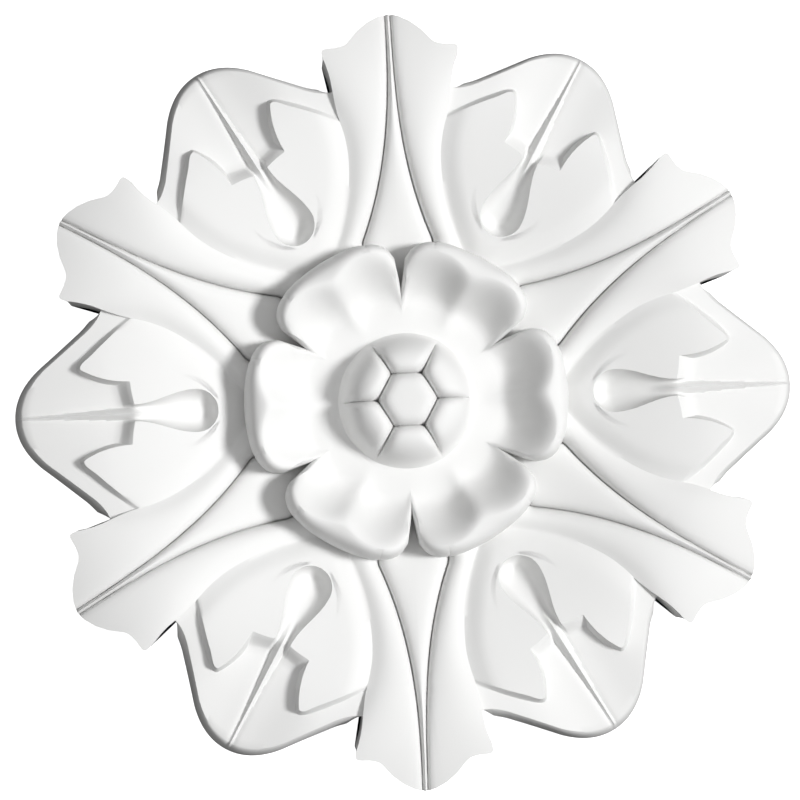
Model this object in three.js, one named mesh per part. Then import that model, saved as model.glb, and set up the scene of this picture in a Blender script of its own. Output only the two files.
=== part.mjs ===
// Ceiling rose moulded in one piece: six main leaves with a trumpet-shaped stem, six back leaves
// between them, a rosette of six heart-shaped petals and a boss of seven beads.
// The flat back lies on z = 0 round the origin and the carved face looks along +Z.
import * as THREE from 'three';
import { mergeVertices } from 'three/addons/utils/BufferGeometryUtils.js';

// Overall sizes in millimetres
const TIP_RADIUS = 148.4;
const LOBE_RADIUS = 146;
const ROSETTE_RADIUS = 62;
const LEAVES = 6;

// Bowl of the leaves: low beside the rosette, highest at the crest, falling to the tips
const CREST_RADIUS = 116;
const CREST_HEIGHT = 24;
const BOWL_DEPTH = 11;
const BOWL_CURVE = 1.6;
const TIP_DROP = 6.5;

// Stem of a main leaf and the grooves beside it, each with a sharp crease at its bottom
const STEM_TIP_HALF = 1;
const STEM_ROOT_HALF = 13.5;
const STEM_TAPER = 2.87;
const STEM_RISE = 0.9;
const GROOVE_TIP_DEPTH = 0.6;
const GROOVE_ROOT_DEPTH = 3;
const GROOVE_TIP_WIDTH = 0.6;
const GROOVE_ROOT_WIDTH = 1.7;
const CREASE_DEPTH = 2.4;
const CREASE_WIDTH = 0.42;

// Fold between a main leaf and the side lobe next to it
const WAIST_X = 91;
const FOLD_HALF = 17.6;
const FOLD_SPREAD_IN = 0.0063;
const FOLD_SPREAD_OUT = 0.0107;
const FOLD_DEPTH = 2.2;
const FOLD_WIDTH = 2.8;
const FOLD_ROUND = 1.5;
const BLADE_CROWN = 1.2;
const LOBE_RISE = 1.2;
const LOBE_RISE_WIDTH = 8;
const AXIS_ROUND = 6;

// Teardrop hollow on the axis of a back leaf, and its neck
const DROP_CENTRE = 79.8;
const DROP_RADIUS = 8.2;
const DROP_TURN = 0.45;
const NECK_A = 103;
const NECK_HALF = 3.2;
const SCOOP_DEPTH = 10.5;
const SCOOP_DEEPEST = 74;
const SCOOP_WALL = 3;

// Back leaf under the side lobes, and the rib on its axis
const BACK_ROOT = 18.8;
const BACK_FALL = 4.5;
const BACK_CURVE = 1.8;
const BACK_SIDE_RISE = 3;
const BACK_SIDE_HALF = 26;
const RIB_TIP_HALF = 0.7;
const RIB_ROOT_HALF = 2.8;
const RIB_TIP_HEIGHT = 0.6;
const RIB_ROOT_HEIGHT = 3.8;
const RIB_TAPER = 1.5;
const RIB_FLANK = 1.3;
const RIB_START = 11;

// Outer walls: the back leaves spread at their foot, the main leaves are undercut
const WALL_DRAFT = 4;
const DRAFT_LENGTH = 1 / 12;
const UNDERCUT = 1.8;
const UNDERCUT_LENGTH = 1 / 4;

// Petals of the rosette
const CLEFT_RADIUS = 43;
const CLEFT_HEIGHT = 16.5;
const RIM_RADIUS = 57.6;
const RIM_HEIGHT = 32.5;
const PETAL_ROOT = 15.5;
const PETAL_NOTCH = 3.5;
const NOTCH_ANGLE = THREE.MathUtils.degToRad(9);
const PETAL_CURL = 0.34;
const PETAL_CUP = 1.2;
const PETAL_RIDGE = 1.6;
const RIDGE_WIDTH = 0.16;
const PETAL_BIAS = 1.5;
const PETAL_ROUND = 6;
const LIP_FULLNESS = 2.3;

// Boss and its beads
const BOSS_RADIUS = 25.2;
const BOSS_FOOT = 28;
const BOSS_FILLET = 1.8;
const BOSS_TOP = 36;
const BOSS_FULLNESS = 6.5;
const BEAD_FLAT = 9.9;
const BEAD_GROOVE = 3.4;
const BEAD_GROOVE_WIDTH = 6.5;
const BEAD_FULLNESS = 4;
const BEAD_CREASE = 2.2;
const BEAD_CREASE_WIDTH = 0.5;
const BEAD_END = 0.87 * BOSS_RADIUS;

// Half a sector lies between the axis of a main leaf (x along it, t across) and the axis of a
// back leaf (a along it, b across, towards the main leaf).
const HALF_SECTOR = Math.PI / LEAVES;
const COS = Math.cos(HALF_SECTOR);
const SIN = Math.sin(HALF_SECTOR);
const toLobe = (x, t) => [x * COS + t * SIN, x * SIN - t * COS];
const fromLobe = ([a, b]) => [a * COS + b * SIN, a * SIN - b * COS];

// Plan curves as knots with a control point between each two: edge of a main leaf from its tip
// to the inner corner of the wedge, in x and t
const NOTCH = [118.8, 22.6];
const WEDGE_X = 106.9;
const WEDGE = [WEDGE_X, foldHalf(WEDGE_X)];
const MAIN_EDGE = [
  [TIP_RADIUS, 0], [147.6, 8.5], [137.4, 16], [135.2, 18], [135.3, 24], [135.5, 26.9],
  [132.4, 26], [126, 23.3], NOTCH, [112.5, 21.9], WEDGE,
];
// Upper edge of a side lobe from the wedge to the neck, in a and b
const LOBE_EDGE = [
  toLobe(...WEDGE), [112, 28.7], [118.8, 22], [124.2, 18.4], [122.4, 16.9], [114, 12],
  [104.3, 12], [104.2, 8], [NECK_A, NECK_HALF],
];
// Foot of the step from the side lobe down to the back leaf, from the notch to the axis
const FOOT_EDGE = [
  toLobe(...NOTCH), [109, 38], [104.4, 36.5], [113.6, 30.2], [120.6, 23.4], [126.2, 18.4],
  [124.2, 16.5], [117, 11.4], [110.2, 10.9], [109.4, 8], [108.4, 4], [108, 2], [108, 0],
];
// Outline of the back leaf from the notch to its tip
const BACK_OUTLINE = [
  toLobe(...NOTCH), [115.5, 35], [122, 30], [128, 25], [136.5, 18.3], [LOBE_RADIUS, 10], [LOBE_RADIUS, 0],
];
// Place on the outline that each knot of the foot faces
const OUTLINE_MATCH = [0, 0.45, 1.2, 1.9, 2.5, 2.8, 3];

// Columns and rows of the facets in half a sector, closest beside the grooves
const STEM_SHARES = [0, 0.3, 0.75, 0.93, 1];
const BLADE_SHARES = [0.08, 0.25, 0.5, 0.78, 1];
const MAIN_COLUMNS = STEM_SHARES.length + BLADE_SHARES.length;
const STEM_COLUMNS = STEM_SHARES.length - 1;
const ARC_COLUMNS = 2;
const LOBE_COLUMNS = 7;
const DROP_SHARES = [0, 0.15, 0.45, 1];
const LEAF_ROWS = 9;
const TONGUE_ROWS = 3;
const BACK_ROWS = 3;
const PETAL_COLUMNS = 8;
const PETAL_SPACING = 1.3;
const PETAL_ROWS = [0, 0.34, 0.58, 0.8, 1];
const LIP_TURN = Math.PI / 5;
const BEAD_ROWS = [0.5, 0.9, 1];
const BOSS_ROWS = [0.08, 0.45, 0.7, 0.84];
const DROP_ROW = 2;
const DROP_START = DROP_ROW / LEAF_ROWS;
const STEM_EDGE_AT_TIP = 0.06;
const SEARCH_STEPS = 40;
const WELD = 1e-3;

const clamp01 = (v) => Math.min(1, Math.max(0, v));
const mix = (p, q, s) => p.map((v, i) => v + (q[i] - v) * s);

function ease(from, to, v) {
  const s = clamp01((v - from) / (to - from));
  return s * s * (3 - 2 * s);
}

// Point at s along a chain of quadratic arcs, s counting whole arcs
function along(knots, s) {
  const arcs = (knots.length - 1) / 2;
  const arc = Math.min(Math.floor(s), arcs - 1);
  const f = s - arc;
  const [start, control, end] = knots.slice(2 * arc, 2 * arc + 3);
  return mix(mix(start, control, f), mix(control, end, f), f);
}

function bowl(r) {
  const outwards = Math.max(0, r - CREST_RADIUS) / (TIP_RADIUS - CREST_RADIUS);
  const inwards = Math.max(0, CREST_RADIUS - r) / (CREST_RADIUS - ROSETTE_RADIUS);
  return CREST_HEIGHT - TIP_DROP * outwards ** 2 - BOWL_DEPTH * inwards ** BOWL_CURVE;
}

// Share of the way from the tip of a main leaf to the rosette
const fromTip = (x) => clamp01((TIP_RADIUS - x) / (TIP_RADIUS - ROSETTE_RADIUS));

function stemHalf(x) {
  return STEM_TIP_HALF + (STEM_ROOT_HALF - STEM_TIP_HALF) * fromTip(x) ** STEM_TAPER;
}

function foldHalf(x) {
  const spread = x < WAIST_X ? FOLD_SPREAD_IN : FOLD_SPREAD_OUT;
  return FOLD_HALF + spread * (x - WAIST_X) ** 2;
}

function dropHalf(a) {
  const outwards = clamp01((a - DROP_CENTRE) / (NECK_A - DROP_CENTRE));
  const swell = 0.5 + 0.5 * Math.cos(Math.PI * outwards);
  return NECK_HALF + (DROP_RADIUS - NECK_HALF) * swell;
}

// Share of the way from the middle of the teardrop to its outline
function dropShare(a, b) {
  if (a < DROP_CENTRE) {
    return Math.hypot(a - DROP_CENTRE, b) / DROP_RADIUS;
  }
  return Math.max(0, b) / dropHalf(a);
}

function backPlain(r) {
  const outwards = clamp01((r - NECK_A) / (LOBE_RADIUS - NECK_A));
  return BACK_ROOT - BACK_FALL * outwards ** BACK_CURVE;
}

function backHeight(x, t) {
  const [a, b] = toLobe(x, t);
  const inwards = clamp01((LOBE_RADIUS - a) / (LOBE_RADIUS - NECK_A)) ** RIB_TAPER;
  const half = RIB_TIP_HALF + (RIB_ROOT_HALF - RIB_TIP_HALF) * inwards;
  const rise = RIB_TIP_HEIGHT + (RIB_ROOT_HEIGHT - RIB_TIP_HEIGHT) * inwards;
  const rib = rise * Math.max(0, 1 - Math.abs(b / half) ** RIB_FLANK);
  const side = BACK_SIDE_RISE * ease(NECK_HALF, BACK_SIDE_HALF, b);
  return backPlain(Math.hypot(x, t)) + side + rib * ease(NECK_A - RIB_START, NECK_A, a);
}

// The two halves of a back leaf meet in a rounded valley on its axis
function roundedAtAxis(x, t) {
  const [a, b] = toLobe(x, t);
  return fromLobe([a, b + Math.max(0, AXIS_ROUND - b) ** 2 / (2 * AXIS_ROUND)]);
}

function leafHeight(plainX, plainT) {
  const [x, t] = roundedAtAxis(plainX, plainT);
  const stem = stemHalf(x);
  const fold = foldHalf(x);
  const inwards = fromTip(x);
  const grooveWidth = GROOVE_TIP_WIDTH + (GROOVE_ROOT_WIDTH - GROOVE_TIP_WIDTH) * inwards;
  const grooveDepth = GROOVE_TIP_DEPTH + (GROOVE_ROOT_DEPTH - GROOVE_TIP_DEPTH) * inwards;
  const toGroove = Math.abs(t - stem);
  const groove = grooveDepth * Math.exp(-toGroove / grooveWidth);
  const crease = CREASE_DEPTH * Math.exp(-toGroove / CREASE_WIDTH);
  const crown = STEM_RISE * Math.sqrt(inwards) * Math.max(0, 1 - (t / stem) ** 2);
  const blade = BLADE_CROWN * Math.sin(Math.PI * clamp01((t - stem) / (fold - stem)));
  const past = t - fold;
  const valley = FOLD_DEPTH * Math.exp(-Math.hypot(past, FOLD_ROUND) / FOLD_WIDTH);
  const lobe = LOBE_RISE * ease(0, LOBE_RISE_WIDTH, past);
  return bowl(Math.hypot(x, t)) + crown + blade + lobe - groove - crease - valley;
}

function frontHeight(x, t) {
  const [a, b] = toLobe(x, t);
  const leaf = leafHeight(x, t);
  const outwards = clamp01((a - SCOOP_DEEPEST) / (NECK_A - SCOOP_DEEPEST));
  const toBack = leaf - backHeight(x, t);
  const depth = SCOOP_DEPTH + (toBack - SCOOP_DEPTH) * outwards;
  return leaf - depth * Math.max(0, 1 - dropShare(a, b) ** SCOOP_WALL);
}

// Fullness of a petal from its cleft (0) to its middle (1), angle measured from the cleft
function petalSwell(angle) {
  return Math.sqrt(1 - (1 - angle / HALF_SECTOR) ** PETAL_ROUND);
}

function petalBase(angle) {
  return CLEFT_RADIUS + (ROSETTE_RADIUS - CLEFT_RADIUS) * petalSwell(angle);
}

function petalRim(angle) {
  const notch = PETAL_NOTCH * Math.exp(-(((HALF_SECTOR - angle) / NOTCH_ANGLE) ** 2));
  return CLEFT_RADIUS + (RIM_RADIUS - CLEFT_RADIUS) * petalSwell(angle) - notch;
}

function petalHeight(angle, f) {
  const rim = CLEFT_HEIGHT + (RIM_HEIGHT - CLEFT_HEIGHT) * petalSwell(angle);
  const fromMiddle = (HALF_SECTOR - angle) / HALF_SECTOR;
  const outwards = Math.sin(Math.PI * f ** PETAL_BIAS);
  const ridge = PETAL_RIDGE * Math.exp(-((fromMiddle / RIDGE_WIDTH) ** 2)) * outwards;
  const cup = PETAL_CUP * Math.sin(Math.PI * fromMiddle) ** 2 * outwards;
  return PETAL_ROOT + (rim - PETAL_ROOT) * ease(PETAL_CURL, 1, f) + ridge - cup;
}

// Distances to the hexagon round the middle bead and to the nearest line between two other beads
function beadGaps(x, t) {
  const nextSide = x * Math.cos(2 * HALF_SECTOR) + t * Math.sin(2 * HALF_SECTOR);
  const toSpoke = x < BEAD_FLAT ? BEAD_FLAT - nextSide : toLobe(x, t)[1];
  return [Math.abs(x - BEAD_FLAT), Math.abs(toSpoke)];
}

function bossHeight(x, t) {
  const r = Math.hypot(x, t);
  let groove = 0;
  for (const gap of beadGaps(x, t)) {
    groove += BEAD_GROOVE * clamp01(1 - gap / BEAD_GROOVE_WIDTH) ** BEAD_FULLNESS;
    groove += BEAD_CREASE * Math.exp(-gap / BEAD_CREASE_WIDTH);
  }
  const dome = (BOSS_TOP - PETAL_ROOT) * (1 - (r / BOSS_RADIUS) ** BOSS_FULLNESS);
  const filleted = (dome + Math.hypot(dome, BOSS_FILLET)) / 2;
  return PETAL_ROOT + filleted * ease(BOSS_FOOT, BOSS_RADIUS, r) - groove * ease(BOSS_RADIUS, BEAD_END, r);
}

// Point [x, t, z, u] on the leaves, u being its share of the way across the half sector
const onLeaf = ([x, t], u) => [x, t, frontHeight(x, t), u];
const onBack = ([x, t], u) => [x, t, backHeight(x, t), u];

// Where a line of the leaf, given as t for each x, comes out from under the rosette
function leavesRosette(line) {
  let low = CLEFT_RADIUS;
  let high = ROSETTE_RADIUS;
  for (let i = 0; i < SEARCH_STEPS; i += 1) {
    const x = (low + high) / 2;
    const t = line(x);
    if (Math.hypot(x, t) < petalBase(Math.min(HALF_SECTOR, Math.atan2(t, x)))) low = x;
    else high = x;
  }
  return low;
}

// Line of the main leaf at a column: shares of the stem first, then shares of the blade
function mainLine(column) {
  if (column <= STEM_COLUMNS) {
    return (x) => STEM_SHARES[column] * stemHalf(x);
  }
  const share = BLADE_SHARES[column - STEM_COLUMNS - 1];
  return (x) => stemHalf(x) + share * (foldHalf(x) - stemHalf(x));
}

// Inner side of the lobe patch, on the outline of the rosette from the fold to the lobe axis
const foldLine = mainLine(MAIN_COLUMNS - 1);
const foldStart = leavesRosette(foldLine);
const foldAngle = Math.atan2(foldLine(foldStart), foldStart);

function lobeInner(k) {
  const angle = foldAngle + (HALF_SECTOR - foldAngle) * k;
  const r = petalBase(angle);
  return [r * Math.cos(angle), r * Math.sin(angle)];
}

function lobeFold(v) {
  const x = foldStart + (WEDGE[0] - foldStart) * v;
  return [x, foldLine(x)];
}

// Outer side of the lobe patch: along the lobe axis, then round the outline of the teardrop
function dropOutline(v) {
  const f = (v - DROP_START) / (1 - DROP_START);
  if (f < DROP_TURN) {
    const angle = Math.PI * (1 - 0.5 * f / DROP_TURN);
    return [DROP_CENTRE + DROP_RADIUS * Math.cos(angle), DROP_RADIUS * Math.sin(angle)];
  }
  const a = DROP_CENTRE + (NECK_A - DROP_CENTRE) * (f - DROP_TURN) / (1 - DROP_TURN);
  return [a, dropHalf(a)];
}

function lobeAxis(v) {
  if (v < DROP_START) {
    const start = ROSETTE_RADIUS;
    const end = DROP_CENTRE - DROP_RADIUS;
    return fromLobe([start + (end - start) * v / DROP_START, 0]);
  }
  return fromLobe(dropOutline(v));
}

const lobeOuter = (k) => fromLobe(along(LOBE_EDGE, k * (LOBE_EDGE.length - 1) / 2));

// Blend of the four sides of the lobe patch
function lobePoint(k, v) {
  const across = mix(lobeFold(v), lobeAxis(v), k);
  const outwards = mix(lobeInner(k), lobeOuter(k), v);
  const corners = mix(mix(lobeInner(0), lobeInner(1), k), mix(lobeOuter(0), lobeOuter(1), k), v);
  return across.map((value, i) => value + outwards[i] - corners[i]);
}

// Row of the leaves at v from the rosette (0) to the waist and the edge of the side lobe (1)
function leafRow(v) {
  const points = [];
  for (let column = 0; column < MAIN_COLUMNS; column += 1) {
    const line = mainLine(column);
    const start = leavesRosette(line);
    const x = start + (WEDGE[0] - start) * v;
    points.push([x, line(x)]);
  }
  for (let column = 1; column <= LOBE_COLUMNS; column += 1) {
    points.push(lobePoint(column / LOBE_COLUMNS, v));
  }
  return points.map((point, i) => onLeaf(point, i / (points.length - 1)));
}

// Row of the teardrop at v, from its outline to its axis
function dropRow(v) {
  const outline = lobeAxis(v);
  const spine = fromLobe([Math.max(toLobe(...outline)[0], DROP_CENTRE), 0]);
  return renumber(DROP_SHARES.map((share) => onLeaf(mix(outline, spine, share), share)));
}

// Edge of a main leaf from its tip to the wedge
function mainEdge() {
  const edge = STEM_SHARES.map((share) => along(MAIN_EDGE, STEM_EDGE_AT_TIP * share));
  const arcs = (MAIN_EDGE.length - 1) / 2;
  for (let column = 1; column <= ARC_COLUMNS * arcs; column += 1) {
    edge.push(along(MAIN_EDGE, column / ARC_COLUMNS));
  }
  return edge.map((point, i) => onLeaf(point, i / (edge.length - 1)));
}

// Row of the tongue at v from the waist to the edge: the stem keeps to its own lines, and each arc
// of the edge faces a column of the blade
function tongueRow(waist, edge, v) {
  return edge.map((end, i) => {
    const place = Math.min(i, STEM_COLUMNS) + Math.max(0, i - STEM_COLUMNS) / ARC_COLUMNS;
    const before = waist[Math.floor(place)];
    const after = waist[Math.ceil(place)];
    const start = mix(before.slice(0, 2), after.slice(0, 2), place % 1);
    const [x, t] = mix(start, end.slice(0, 2), v);
    return onLeaf([x, i <= STEM_COLUMNS && v < 1 ? mainLine(i)(x) : t], end[3]);
  });
}

// Rows of the back leaf from the foot of the step to its outline
function backLeafRows() {
  const arcs = (FOOT_EDGE.length - 1) / 2;
  const places = [0, 0.5, 1];
  for (let i = 1; i <= LOBE_COLUMNS; i += 1) {
    places.push(1 + (arcs - 2) * i / LOBE_COLUMNS);
  }
  for (const share of DROP_SHARES.slice(1)) {
    places.push(arcs - 1 + share);
  }
  const rows = [];
  for (let row = 0; row <= BACK_ROWS; row += 1) {
    rows.push(places.map((s, i) => {
      const knot = Math.min(Math.floor(s), arcs - 1);
      const match = OUTLINE_MATCH[knot] + (OUTLINE_MATCH[knot + 1] - OUTLINE_MATCH[knot]) * (s - knot);
      const plan = mix(along(FOOT_EDGE, s), along(BACK_OUTLINE, match), row / BACK_ROWS);
      return onBack(fromLobe(plan), i / (places.length - 1));
    }));
  }
  return rows;
}

// Petals and boss inwards from the outline of the rosette
function rosetteRows(outline) {
  const angles = [];
  for (let column = 0; column <= PETAL_COLUMNS; column += 1) {
    angles.push(HALF_SECTOR * (column / PETAL_COLUMNS) ** PETAL_SPACING);
  }
  const polar = (angle, r, z) => [r * Math.cos(angle), r * Math.sin(angle), z, angle / HALF_SECTOR];
  const onBoss = (angle, r) => polar(angle, r, bossHeight(r * Math.cos(angle), r * Math.sin(angle)));
  const hexagon = (angle) => BEAD_FLAT / Math.cos(angle);
  const rows = [[[0, 0, bossHeight(0, 0), 0], [0, 0, bossHeight(0, 0), 1]]];
  for (const f of BEAD_ROWS) {
    rows.push(angles.map((angle) => onBoss(angle, hexagon(angle) * f)));
  }
  for (const f of BOSS_ROWS) {
    rows.push(angles.map((angle) => onBoss(angle, hexagon(angle) + (BOSS_FOOT - hexagon(angle)) * f)));
  }
  for (const f of PETAL_ROWS) {
    rows.push(angles.map((angle) => {
      const r = BOSS_FOOT + (petalRim(angle) - BOSS_FOOT) * f;
      return polar(angle, r, petalHeight(angle, f));
    }));
  }
  rows.push(angles.map((angle) => {
    const outwards = Math.sin(LIP_TURN) ** (2 / LIP_FULLNESS);
    const upwards = Math.cos(LIP_TURN) ** (2 / LIP_FULLNESS);
    const base = petalBase(angle);
    const foot = bowl(base);
    const r = petalRim(angle) + (base - petalRim(angle)) * outwards;
    return polar(angle, r, foot + (petalHeight(angle, 1) - foot) * upwards);
  }));
  rows.push(outline.map(([x, t, z]) => [x, t, z, clamp01(Math.atan2(t, x) / HALF_SECTOR)]));
  return rows;
}

// Triangles between two rows that run from the main leaf to the back leaf
function stitch(inner, outer, triangles) {
  let i = 0;
  let j = 0;
  while (i < inner.length - 1 || j < outer.length - 1) {
    const nextInner = i < inner.length - 1 ? inner[i + 1][3] : Infinity;
    const nextOuter = j < outer.length - 1 ? outer[j + 1][3] : Infinity;
    if (nextOuter <= nextInner) {
      triangles.push([inner[i], outer[j], outer[j + 1]]);
      j += 1;
    } else {
      triangles.push([inner[i], outer[j], inner[i + 1]]);
      i += 1;
    }
  }
}

function stitchAll(rows, triangles) {
  for (let i = 1; i < rows.length; i += 1) {
    stitch(rows[i - 1], rows[i], triangles);
  }
}

const renumber = (row) => row.map(([x, t, z], i) => [x, t, z, i / (row.length - 1)]);

function atBase([x, t, , u], draft) {
  const scale = 1 + draft / Math.hypot(x, t);
  return [x * scale, t * scale, 0, u];
}

// Faces of half a sector, from the centre of the boss over the edges to the centre of the back
function halfSector() {
  const triangles = [];
  const leafRows = [];
  const dropRows = [];
  for (let i = 0; i <= LEAF_ROWS; i += 1) {
    leafRows.push(leafRow(i / LEAF_ROWS));
    if (i >= DROP_ROW) dropRows.push(dropRow(i / LEAF_ROWS));
  }
  stitchAll(rosetteRows(leafRows[0]), triangles);
  stitchAll(leafRows, triangles);
  stitchAll(dropRows, triangles);

  const lastRow = leafRows[LEAF_ROWS];
  const edge = mainEdge();
  const waist = renumber(lastRow.slice(0, MAIN_COLUMNS));
  const tongue = [waist];
  for (let i = 1; i <= TONGUE_ROWS; i += 1) {
    tongue.push(tongueRow(waist, edge, i / TONGUE_ROWS));
  }
  stitchAll(tongue, triangles);

  const notchColumn = edge.length - 1 - ARC_COLUMNS;
  const mainTop = renumber(edge.slice(0, notchColumn + 1));
  const frontTop = renumber([
    ...edge.slice(notchColumn), ...lastRow.slice(MAIN_COLUMNS), ...dropRows.at(-1).slice(1),
  ]);
  const backRows = backLeafRows();
  stitch(frontTop, backRows[0], triangles);
  stitchAll(backRows, triangles);

  const outlineTop = backRows[BACK_ROWS];
  const notchFoot = outlineTop[0];
  const outlineBase = outlineTop.map(
    (point) => atBase(point, WALL_DRAFT * clamp01(point[3] / DRAFT_LENGTH)),
  );
  const mainBase = mainTop.map(
    (point) => atBase(point, -UNDERCUT * clamp01((1 - point[3]) / UNDERCUT_LENGTH)),
  );
  const mainMiddle = mainBase.map(([x, t, , u], i) => {
    return [x, t, mainTop[i][2] * notchFoot[2] / mainTop.at(-1)[2], u];
  });
  stitchAll([mainTop, mainMiddle, mainBase], triangles);
  stitch(outlineTop, outlineBase, triangles);
  const base = renumber([...mainBase, ...outlineBase.slice(1)]);
  stitch(base, [[0, 0, 0, 0], [0, 0, 0, 1]], triangles);
  return triangles;
}

// Whole rose: the half sector turned to each main leaf, once as it is and once mirrored
function roseGeometry() {
  const half = halfSector();
  const positions = [];
  for (let leaf = 0; leaf < LEAVES; leaf += 1) {
    const turn = HALF_SECTOR * (2 * leaf + 1);
    for (const side of [1, -1]) {
      for (const triangle of half) {
        const corners = side > 0 ? triangle : [...triangle].reverse();
        for (const [x, t, z] of corners) {
          const across = side * t;
          positions.push(
            x * Math.cos(turn) - across * Math.sin(turn),
            x * Math.sin(turn) + across * Math.cos(turn),
            z,
          );
        }
      }
    }
  }
  const loose = new THREE.BufferGeometry();
  loose.setAttribute('position', new THREE.Float32BufferAttribute(positions, 3));
  const merged = mergeVertices(loose, WELD);
  const corners = merged.getIndex().array;
  const faces = [];
  for (let i = 0; i < corners.length; i += 3) {
    const [p, q, r] = corners.slice(i, i + 3);
    if (p !== q && q !== r && r !== p) faces.push(p, q, r);
  }
  merged.setIndex(faces);
  merged.computeVertexNormals();
  return merged;
}

const primer = new THREE.MeshStandardMaterial({ color: 0xf4f4f2, roughness: 0.75, metalness: 0 });
const ceilingRose = new THREE.Mesh(roseGeometry(), primer);
ceilingRose.name = 'ceiling_rose';

const part = new THREE.Group();
part.add(ceilingRose);

export default part;
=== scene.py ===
"""Ceiling rose: a round white moulding with carved leaves, a rosette of petals and a beaded boss."""

import math
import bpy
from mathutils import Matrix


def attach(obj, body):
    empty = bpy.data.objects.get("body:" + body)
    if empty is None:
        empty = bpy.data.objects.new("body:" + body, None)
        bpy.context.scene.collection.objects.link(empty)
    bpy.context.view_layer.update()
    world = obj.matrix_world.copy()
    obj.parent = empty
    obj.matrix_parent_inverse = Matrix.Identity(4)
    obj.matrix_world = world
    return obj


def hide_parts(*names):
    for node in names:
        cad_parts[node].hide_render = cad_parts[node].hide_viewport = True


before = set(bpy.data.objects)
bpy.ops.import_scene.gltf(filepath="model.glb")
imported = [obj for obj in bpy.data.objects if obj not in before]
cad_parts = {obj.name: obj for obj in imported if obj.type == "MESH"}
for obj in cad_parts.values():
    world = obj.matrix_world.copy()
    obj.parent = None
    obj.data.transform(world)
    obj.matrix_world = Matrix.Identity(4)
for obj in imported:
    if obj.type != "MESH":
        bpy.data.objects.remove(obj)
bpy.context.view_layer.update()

from types import SimpleNamespace

import bpy
import numpy as np
from bpy.props import FloatProperty, FloatVectorProperty, IntProperty, PointerProperty
from mathutils import Matrix, Vector

bl_info = {
    "name": "Ceiling Rose",
    "version": (1, 0, 0),
    "blender": (4, 5, 0),
    "location": "3D View > Sidebar > Rose",
    "description": "Carves a moulded ceiling rose, primes it white and sets it on a pale stage",
    "category": "Object",
}

ROSE_NODE = "ceiling_rose"
MM = 0.001
LEAVES = 6
HALF_SECTOR = math.pi / LEAVES
COS = math.cos(HALF_SECTOR)
SIN = math.sin(HALF_SECTOR)

# seams of the mesh and smoothing
WELD_GAP = 0.01 * MM
SEAM_GAP = 0.02 * MM
SMOOTH_ANGLE = math.radians(38)

# cloudiness, roughness and grain of the primer
CLOUD_SCALE = 18
CLOUD_DETAIL = 4
ROUGHNESS_LOW = 0.6
ROUGHNESS_HIGH = 0.75
GRAIN_SCALE = 1400
GRAIN_DETAIL = 2
GRAIN_STRENGTH = 0.25
SPECULAR = 0.3

# stage
WHITE = (1, 1, 1, 1)
FLOOR_COLOUR = (0.8, 0.8, 0.8, 1)
FLOOR_GAP = 0.2 * MM
SENSOR_WIDTH = 36
NEAR_CLIP = 0.01


def length(name, millimetres, description):
    """A length that is shown in the scene's units."""
    return FloatProperty(name=name, description=description, default=millimetres * MM, unit="LENGTH")


def share(name, value, description):
    """A plain number, such as an exponent or a share of a length."""
    return FloatProperty(name=name, description=description, default=value)


def angle(name, radians, description):
    """An angle that is shown in degrees."""
    return FloatProperty(name=name, description=description, default=radians, subtype="ANGLE")


def count(name, number, lowest, description):
    """A number of rows or columns."""
    return IntProperty(name=name, description=description, default=number, min=lowest)


class RoseLeafSizes(bpy.types.PropertyGroup):
    """Sizes of the main leaves and of the side lobes beside them."""

    tip_radius: length("Tip radius", 148.4, "Centre to the tip of a main leaf")
    crest_radius: length("Crest radius", 116, "Where the leaves stand highest")
    crest_height: length("Crest height", 24, "Height of the leaves at the crest")
    bowl_depth: length("Bowl depth", 11, "How far the leaves sink towards the rosette")
    bowl_curve: share("Bowl curve", 1.6, "Exponent of the bowl inside the crest")
    tip_drop: length("Tip drop", 6.5, "How far a main leaf falls from the crest to its tip")
    stem_tip_half: length("Stem half width at the tip", 1, "Half the stem's width at the leaf tip")
    stem_root_half: length("Stem half width at the root", 13.5, "Half the stem's width at the rosette")
    stem_taper: share("Stem taper", 2.87, "Exponent of the trumpet shape of the stem")
    stem_rise: length("Stem rise", 0.9, "Crown of the stem at its root")
    groove_tip_depth: length("Groove depth at the tip", 0.6, "Depth of the groove at the leaf tip")
    groove_root_depth: length("Groove depth at the root", 3, "Depth of the groove at the rosette")
    groove_tip_width: length("Groove width at the tip", 0.6, "Width of the groove at the leaf tip")
    groove_root_width: length("Groove width at the root", 1.7, "Width of the groove at the rosette")
    crease_depth: length("Crease depth", 2.4, "Depth of the sharp crease at the bottom of a groove")
    crease_width: length("Crease width", 0.42, "Width of that crease")
    waist_x: length("Waist", 91, "Distance from the centre to the narrowest place of a main leaf")
    fold_half: length("Fold offset", 17.6, "Distance of the fold from the leaf axis at the waist")
    fold_spread_in: share("Fold spread inwards", 6.3, "How fast the fold turns away inside the waist")
    fold_spread_out: share("Fold spread outwards", 10.7, "How fast the fold turns away outside it")
    fold_depth: length("Fold depth", 2.2, "Depth of the valley at the fold")
    fold_width: length("Fold width", 2.8, "Width of the valley at the fold")
    fold_round: length("Fold rounding", 1.5, "Rounding of the bottom of the valley")
    blade_crown: length("Blade crown", 1.2, "Crown of the blade between groove and fold")
    lobe_rise: length("Side lobe rise", 1.2, "How far the side lobe stands above the blade")
    lobe_rise_width: length("Side lobe rise width", 8, "Width over which the side lobe rises")
    axis_round: length("Axis rounding", 6, "Half the width over which the lobe axis is rounded")
    edge_spread: length("Edge spread", -3.2, "How far a main leaf spreads at its foot, undercut if below 0")


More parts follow.
